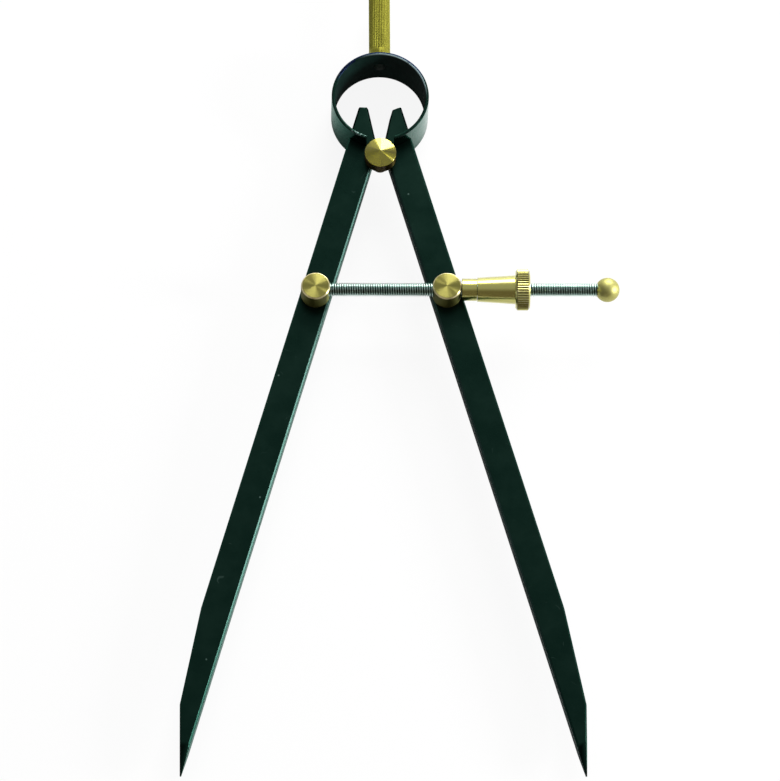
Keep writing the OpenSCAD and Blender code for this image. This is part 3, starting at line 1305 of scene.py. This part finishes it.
@dataclass
class ScrewSet(SubAssembly):
    """The threaded screw, its ball, the thrust collar and the nut."""

    steel: Material
    brass: Material
    ball_brass: Material
    pitch: float = 0.7
    root_depth: float = 0.40
    root_ends: Span = (0.08, 0.92)
    crest_ends: Span = (0.38, 0.62)
    turn_steps: int = 28
    wound_turns: int = 4
    lead_turns: int = 2
    spare_turns: int = 3
    bore_radius: float = 2.12
    ball_hole: float = 2.02
    ball_play: float = 0.02
    ball_arc: int = 40
    edge_rounding: float = 0.12
    joint_rounding: float = 0.05
    sleeve_start: float = 3.5
    sleeve_end: float = 4.2
    sleeve_length: float = 11.1
    sleeve_fillet: float = 0.15
    flange_chamfer: float = 0.6
    mouth_chamfer: float = 0.4
    teeth: int = 50
    tooth_depth: float = 0.25
    tooth_points: int = 8
    tooth_power: float = 1.4

    def along(self, node: str) -> tuple[float, float, float, Matrix]:
        """Measures a piece that lies along the screw.

        Args:
            node: the piece's node.

        Returns:
            Its start, its length, its radius, and the matrix that lays local Z along the screw there.
        """
        low, high = box_mm(node)
        start = Vector((low.x, (low.y + high.y) / 2, (low.z + high.z) / 2))
        return low.x, high.x - low.x, (high.y - low.y) / 2, Axis.X.place(start)

    def thread(self) -> Piece:
        """Winds the screw's thread and cuts it to length.

        Returns:
            The screw.
        """
        _, length, radius, place = self.along("adjusting_screw")
        root = radius - self.root_depth
        crest = [(radius, share) for share in self.crest_ends]
        shape = [(root, 0.0), (root, self.root_ends[0]), *crest, (root, self.root_ends[1]), (root, 1.0)]
        mesh = bmesh.new()
        verts = [mesh.verts.new((r, 0.0, (share - self.lead_turns) * self.pitch)) for r, share in shape]
        edges = [mesh.edges.new(pair) for pair in zip(verts, verts[1:])]
        wound = self.wound_turns
        spin(mesh, verts + edges, FULL_TURN * wound, self.turn_steps * wound, self.pitch / self.turn_steps)
        while wound < math.ceil(length / self.pitch) + self.spare_turns:
            twin = bmesh.ops.duplicate(mesh, geom=whole(mesh))["geom"]
            moved = [part for part in twin if isinstance(part, bmesh.types.BMVert)]
            bmesh.ops.translate(mesh, verts=moved, vec=(0.0, 0.0, wound * self.pitch))
            wound *= 2
        bmesh.ops.remove_doubles(mesh, verts=mesh.verts[:], dist=CLOSE)
        for height, outwards in ((0.0, -1.0), (length, 1.0)):
            cut_off(mesh, Vector((0.0, 0.0, height)), Vector((0.0, 0.0, outwards)))
        bmesh.ops.recalc_face_normals(mesh, faces=mesh.faces[:])
        mesh.transform(place)
        fitting = Fitting("adjusting_screw", "thread", "screw", Slot.SCREW_STEEL)
        return self.mount(mesh, fitting, self.steel)

    def ball(self) -> Piece:
        """Turns the ball with its seat for the screw's end.

        Returns:
            The ball.
        """
        start, length, radius, place = self.along("end_ball")
        centre = start + length - radius
        seat = box_mm("adjusting_screw")[1].x + self.ball_play - centre
        first = math.acos(math.sqrt(radius**2 - self.ball_hole**2) / radius)
        arc = [first + (math.pi - first) * i / self.ball_arc for i in range(self.ball_arc)]
        section = [(0.0, seat), (self.ball_hole, seat)]
        section += [(radius * math.sin(turn), -radius * math.cos(turn)) for turn in arc]
        mesh = turn_section([*section, (0.0, radius)])
        mesh.transform(place @ Matrix.Translation((0.0, 0.0, centre - start)))
        fitting = Fitting("end_ball", "turned", "screw", Slot.TURNED_BRASS)
        return self.mount(mesh, fitting, self.ball_brass)

    def collar(self) -> Piece:
        """Turns the collar between the post and the nut.

        Returns:
            The collar.
        """
        _, length, radius, place = self.along("thrust_collar")
        roundings = (self.edge_rounding, self.joint_rounding)
        mesh = turn_ring(self.bore_radius, radius, (0.0, length), roundings)
        mesh.transform(place)
        fitting = Fitting("thrust_collar", "ring", "slide_post", Slot.TURNED_BRASS)
        return self.mount(mesh, fitting, self.brass)

    def nut(self) -> Piece:
        """Turns the nut and cuts the teeth of its flange.

        Returns:
            The nut.
        """
        _, length, radius, place = self.along("adjusting_nut")
        face = radius - self.flange_chamfer
        flange = self.sleeve_length
        section = [
            (self.bore_radius, 0.0),
            (self.sleeve_start, 0.0, self.joint_rounding),
            (self.sleeve_end, flange - self.sleeve_fillet),
            (self.sleeve_end + self.sleeve_fillet, flange),
            (face, flange, self.edge_rounding),
            (radius, flange + self.flange_chamfer),
            (radius, length - self.flange_chamfer),
            (face, length, self.edge_rounding),
            (self.bore_radius + self.mouth_chamfer, length),
            (self.bore_radius, length - self.mouth_chamfer),
        ]
        mesh = turn_section(section, self.teeth * self.tooth_points)
        middle = (flange + length) / 2
        for vert in mesh.verts:
            x, y, z = vert.co
            reach = math.hypot(x, y)
            wave = abs((math.atan2(y, x) * self.teeth / FULL_TURN) % 1.0 - 0.5) * 2.0
            limit = radius - self.tooth_depth * (1.0 - wave) ** self.tooth_power
            if reach > limit:
                vert.co.x, vert.co.y = x * limit / reach, y * limit / reach
                vert.co.z += math.copysign(reach - limit, z - middle)
        mesh.transform(place)
        fitting = Fitting("adjusting_nut", "knurled", "nut", Slot.TURNED_BRASS)
        return self.mount(mesh, fitting, self.brass)

    def build(self) -> list[Piece]:
        """Builds the four pieces."""
        return [self.thread(), self.collar(), self.nut(), self.ball()]


# Studio


@dataclass(frozen=True)
class Lamp:
    """A soft area light that faces the divider, with its distance and sizes in metres."""

    name: str
    towards: Triple
    distance: float
    width: float
    height: float
    radiance: float

    def build(self, target: Vector) -> None:
        """Makes the light.

        Args:
            target: the point that it faces, in metres.
        """
        data = bpy.data.lights.new(self.name, "AREA")
        data.shape = "RECTANGLE"
        data.size, data.size_y = self.width, self.height
        data.energy = self.radiance * math.pi * self.width * self.height
        lamp = bpy.data.objects.new(self.name, data)
        way = Vector(self.towards).normalized()
        lamp.location = target + way * self.distance
        lamp.rotation_euler = way.to_track_quat("Z", "Y").to_euler()
        bpy.context.scene.collection.objects.link(lamp)


@dataclass(frozen=True)
class Wall:
    """A side of the room with its own tone, by the place of its direction on an axis."""

    axis: Axis
    span: Span
    tone: Colour
    share: float = 0.8
    upright: Span | None = None


@dataclass
class Studio:
    """Camera, lights, sky and floor, with the camera's clipping in metres."""

    roll: float = 0.3416
    tilt: float = -22.4857
    pan: float = 1.0914
    target: Triple = (2.4861, -72.777, 0.0)
    distance: float = 2185.26
    focal_pixels: float = 7529.85
    frame_width: int = 780
    sensor: float = 36.0
    clip: Span = (0.05, 50.0)
    floor_half_width: float = 2000.0
    floor_drop: float = 0.03
    floor_white: float = 0.90
    floor_mirrored: float = 0.05
    floor_tone: float = 0.85
    floor_seen_tone: float = 0.95
    sky_mirrored: float = 0.04
    room_tone: Colour = (0.42, 0.43, 0.44)
    walls: tuple[Wall, ...] = (
        Wall(Axis.Y, (-0.10, -0.65), (0.14, 0.115, 0.085), 1.0),
        Wall(Axis.X, (-0.15, -0.85), (0.10, 0.10, 0.11)),
        Wall(Axis.Y, (0.35, 0.85), (1.1, 1.1, 1.1)),
        Wall(Axis.Y, (0.80, 0.95), (1.4, 1.4, 1.38)),
        Wall(Axis.X, (0.55, 0.97), (1.1, 1.1, 1.08), upright=(0.5, 0.15)),
    )
    lamps: tuple[Lamp, ...] = (
        Lamp("window", (0.263, 0.834, 0.485), 0.95, 0.449, 0.56, 9.5),
        Lamp("back_strip", (-0.044, 0.838, 0.545), 0.95, 0.18, 0.44, 5.0),
        Lamp("right_key", (0.92, -0.12, 0.37), 0.90, 0.20, 0.20, 48.0),
        Lamp("side_strip", (0.99, 0.10, 0.10), 0.85, 0.26, 0.14, 12.0),
        Lamp("top_spot", (0.53, 0.14, 0.83), 0.90, 0.06, 0.06, 5.0),
    )

    def camera(self) -> None:
        """Places the camera at the photograph's viewing angle."""
        turn = (
            Matrix.Rotation(math.radians(self.roll), 3, "Z")
            @ Matrix.Rotation(math.radians(self.tilt), 3, "X")
            @ Matrix.Rotation(math.radians(self.pan), 3, "Y")
        ).transposed()
        data = bpy.data.cameras.new("camera")
        data.sensor_fit = "HORIZONTAL"
        data.sensor_width = self.sensor
        data.lens = self.focal_pixels / self.frame_width * self.sensor
        data.clip_start, data.clip_end = self.clip
        made = bpy.data.objects.new("camera", data)
        place = Vector(self.target) + turn @ Vector((0.0, 0.0, self.distance))
        made.matrix_world = Matrix.Translation(place * MM) @ turn.to_4x4()
        bpy.context.scene.collection.objects.link(made)
        bpy.context.scene.camera = made

    @staticmethod
    def seen(graph: Graph, direct: float, mirrored: float) -> Signal:
        """Shares out what rays see.

        Args:
            graph: the graph of the sky or the floor.
            direct: the share for rays from the camera.
            mirrored: the share for mirrored and refracted rays.

        Returns:
            The share as a signal.
        """
        names = ("Is Camera Ray", "Is Glossy Ray", "Is Transmission Ray")
        camera, glossy, through = graph.outputs(graph.node("ShaderNodeLightPath"), *names)
        return camera * direct + (glossy + through) * mirrored

    def sky(self) -> None:
        """Makes the room's light by direction, white to the camera."""
        world = bpy.data.worlds.new("room")
        bpy.context.scene.world = world
        world.use_nodes = True
        graph = Graph(world.node_tree)
        way = dict(zip(Axis, graph.parts(graph.node("ShaderNodeTexCoord", out="Generated"))))
        colour: Any = self.room_tone
        for wall in self.walls:
            share = way[wall.axis].between(*wall.span) * wall.share
            if wall.upright is not None:
                share = share * way[Axis.Z].between(*wall.upright)
            colour = graph.mix(share, colour, wall.tone)
        lights = ({"Color": light, "Strength": 1.0} for light in (colour, WHITE))
        room, white = (graph.node("ShaderNodeBackground", None, light) for light in lights)
        share = self.seen(graph, 1.0, self.sky_mirrored)
        mixed = graph.node("ShaderNodeMixShader", None, {0: share, 1: room, 2: white})
        graph.surface(mixed, "ShaderNodeOutputWorld")

    def floor(self) -> None:
        """Lays a plain pale floor under the divider."""
        mesh = bmesh.new()
        bmesh.ops.create_grid(mesh, x_segments=1, y_segments=1, size=self.floor_half_width)
        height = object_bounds()[0].z / MM - self.floor_drop
        mesh.transform(Matrix.Translation((0.0, 0.0, height)))
        made = plain_object("floor", mesh)
        material, graph = new_material("floor")
        tone = graph.mix(self.seen(graph, 1.0, 0.0), (self.floor_tone,) * 3, (self.floor_seen_tone,) * 3)
        pale = graph.node("ShaderNodeBsdfDiffuse", None, {"Color": tone})
        glow = graph.node("ShaderNodeEmission", None, {"Color": WHITE, "Strength": 1.0})
        share = self.seen(graph, self.floor_white, self.floor_mirrored)
        graph.surface(graph.node("ShaderNodeMixShader", None, {0: share, 1: pale, 2: glow}))
        made.data.materials.append(material)
        made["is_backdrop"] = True

    def build(self) -> None:
        """Builds the studio, camera first."""
        self.camera()
        self.floor()
        self.sky()
        for lamp in self.lamps:
            lamp.build(Vector(self.target) * MM)
        bpy.context.scene.view_settings.view_transform = "Standard"


def post_brass(side: str) -> Material:
    """Makes the brass of one post, with painted shade on its sides and a burnished rim round its face that
    is painted pale as a highlight.

    Args:
        side: "left" or "right".

    Returns:
        The material.
    """
    low, high = box_mm(side + "_post")
    return BrassFinish(
        side + "_post_brass",
        Axis.Z,
        tuple((low + high) / 2),
        colour=(0.35, 0.32, 0.085),
        tarnish_and_shade=(0.085, 0.090, 0.026),
        tarnish_share=0.05,
        gloss=0.37,
        anisotropy=0.95,
        painted_shade_below=(high.z - low.z) / 2 - 0.45,
        painted_shade_share=0.8,
        painted_reflection_sectors=0.12,
        burnished_highlight_from=3.86,
    ).material()


def screw_finishes() -> tuple[Material, ...]:
    """Makes the finishes that are centred on the screw.

    Returns:
        The plated steel, the nut's brass and the ball's brass.
    """
    low, high = box_mm("adjusting_screw")
    centre = tuple((low + high) / 2)
    nut = BrassFinish(
        "nut_brass",
        Axis.X,
        centre,
        colour=(0.60, 0.57, 0.14),
        tarnish_and_shade=(0.16, 0.130, 0.022),
        tarnish_share=0.12,
        gloss=0.22,
        # Painted shade between the flange's teeth.
        groove_floor=5.80,
        groove_top=6.02,
        groove_shade=0.95,
        coat=0.65,
    )
    ball = BrassFinish("ball_brass", Axis.X, centre, (0.47, 0.45, 0.155), gloss=0.50)
    return tuple(finish.material() for finish in (SteelFinish("plated_steel", Axis.X, centre), nut, ball))


def bow_rim() -> dict[str, Material]:
    """Makes the finishes of the bow's front rim.

    Returns:
        The materials of its worn line, its scuffed end and its blued top.
    """
    low, high = box_mm("bow_spring")
    centre = high.y - (high.x - low.x) / 2
    scuffed = WornEdgeFinish(
        "bow_scuffed_end",
        centre,
        steel=(0.13, 0.19, 0.175),
        patch_size=0.8,
        patch_share=(0.50, 0.66),
        across_fade=(-11.0, -7.0),
        upwards_fade=(-8.0, -11.5),
    )
    blued = EnamelFinish(
        "bow_blued_rim",
        (0.0060, 0.0100, 0.030),
        (0.0078, 0.0130, 0.038),
        fade_to=(0.0066, 0.0225, 0.0160),
        fade_along=(26.0, 21.5),
    )
    worn = WornEdgeFinish("bow_worn_edge", centre)
    return {"worn": worn.material(), "scuffed": scuffed.material(), "blued": blued.material()}


def assemblies(nodes: dict[str, Piece]) -> Iterable[SubAssembly]:
    """Lists the sub-assemblies with their finishes.

    Args:
        nodes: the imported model's objects by name.

    Returns:
        The sub-assemblies in the order of their making.
    """
    paint = EnamelFinish("leg_enamel").material()
    # Painted sheen: a heavy coat on the right half's outer face and a thin one on the left, so the right
    # shines as if lit.
    outside_sheen_by_side = {
        side: EnamelFinish(f"bow_{side}_enamel", gloss=0.27, coat=coat, speck_cell=9.0).material()
        for side, coat in zip(SIDES, (0.10, 0.62))
    }
    # Painted light: the left leg's inner side is a lighter green.
    left_side_painted_light = EnamelFinish("leg_side_painted_light", (0.0085, 0.036, 0.030), (0.011, 0.042, 0.035), gloss=0.25)
    # Worn edge and painted highlight: the inner chamfers are paler teal, fading towards the points.
    rubbed_edge_highlight = EnamelFinish(
        "leg_rubbed_edge_and_highlight", (0.033, 0.070, 0.059), (0.042, 0.084, 0.072), fade_to=(0.009, 0.032, 0.024)
    )
    # Painted shade: dull, dark enamel for the bow's inner wall and the right leg's inner side.
    inside = DullFinish("bow_inside_painted_shade").material()
    peen = DullFinish("handle_peen_enamel", (0.016, 0.028, 0.024), (0.034, 0.052, 0.044), 0.2)
    grip = BrassFinish(
        "handle_brass",
        Axis.Y,
        (0.0, 0.0, 0.0),
        colour=(0.36, 0.35, 0.048),
        tarnish_and_shade=(0.13, 0.120, 0.016),
        gloss=0.52,
        mark_depth=0.003,
        # Painted shade in the knurl's grooves.
        groove_floor=3.03,
        groove_top=3.11,
        streaks=0.3,
        # Painted shade on the foot, next to the bow.
        painted_shade_below=36.0,
        painted_shade_share=0.4,
    )
    stud = BrassFinish(
        "stud_brass",
        Axis.Z,
        (0.0, 0.0, 0.0),
        colour=(0.33, 0.295, 0.015),
        tarnish_and_shade=(0.050, 0.036, 0.010),
        tarnish_share=0.06,
        anisotropy=1.0,
        # Painted shade on the side of the head.
        painted_shade_below=6.62,
        # Painted reflection: darker wedges on the cone.
        painted_reflection_sectors=0.45,
        coat=0.60,
    )
    steel, nut_brass, ball_brass = screw_finishes()
    return (
        Legs(nodes, paint, {"left": left_side_painted_light.material(), "right": inside}, rubbed_edge_highlight.material()),
        BowSpring(paint, inside, outside_sheen_by_side=outside_sheen_by_side, **bow_rim()),
        Handle(grip.material(), peen.material()),
        FulcrumStud(stud.material()),
        SwivelPosts({side: post_brass(side) for side in SIDES}, steel),
        ScrewSet(steel, nut_brass, ball_brass),
    )


def main() -> None:
    """Builds the studio and every piece in order."""
    logging.basicConfig(level=logging.INFO, format="%(name)s: %(message)s")
    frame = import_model()
    Studio().build()
    for assembly in assemblies(frame["nodes"]):
        for piece in assembly.build():
            LOG.info("%s: %d faces", piece.name, len(piece.data.polygons))


if __name__ == "__main__":
    main()
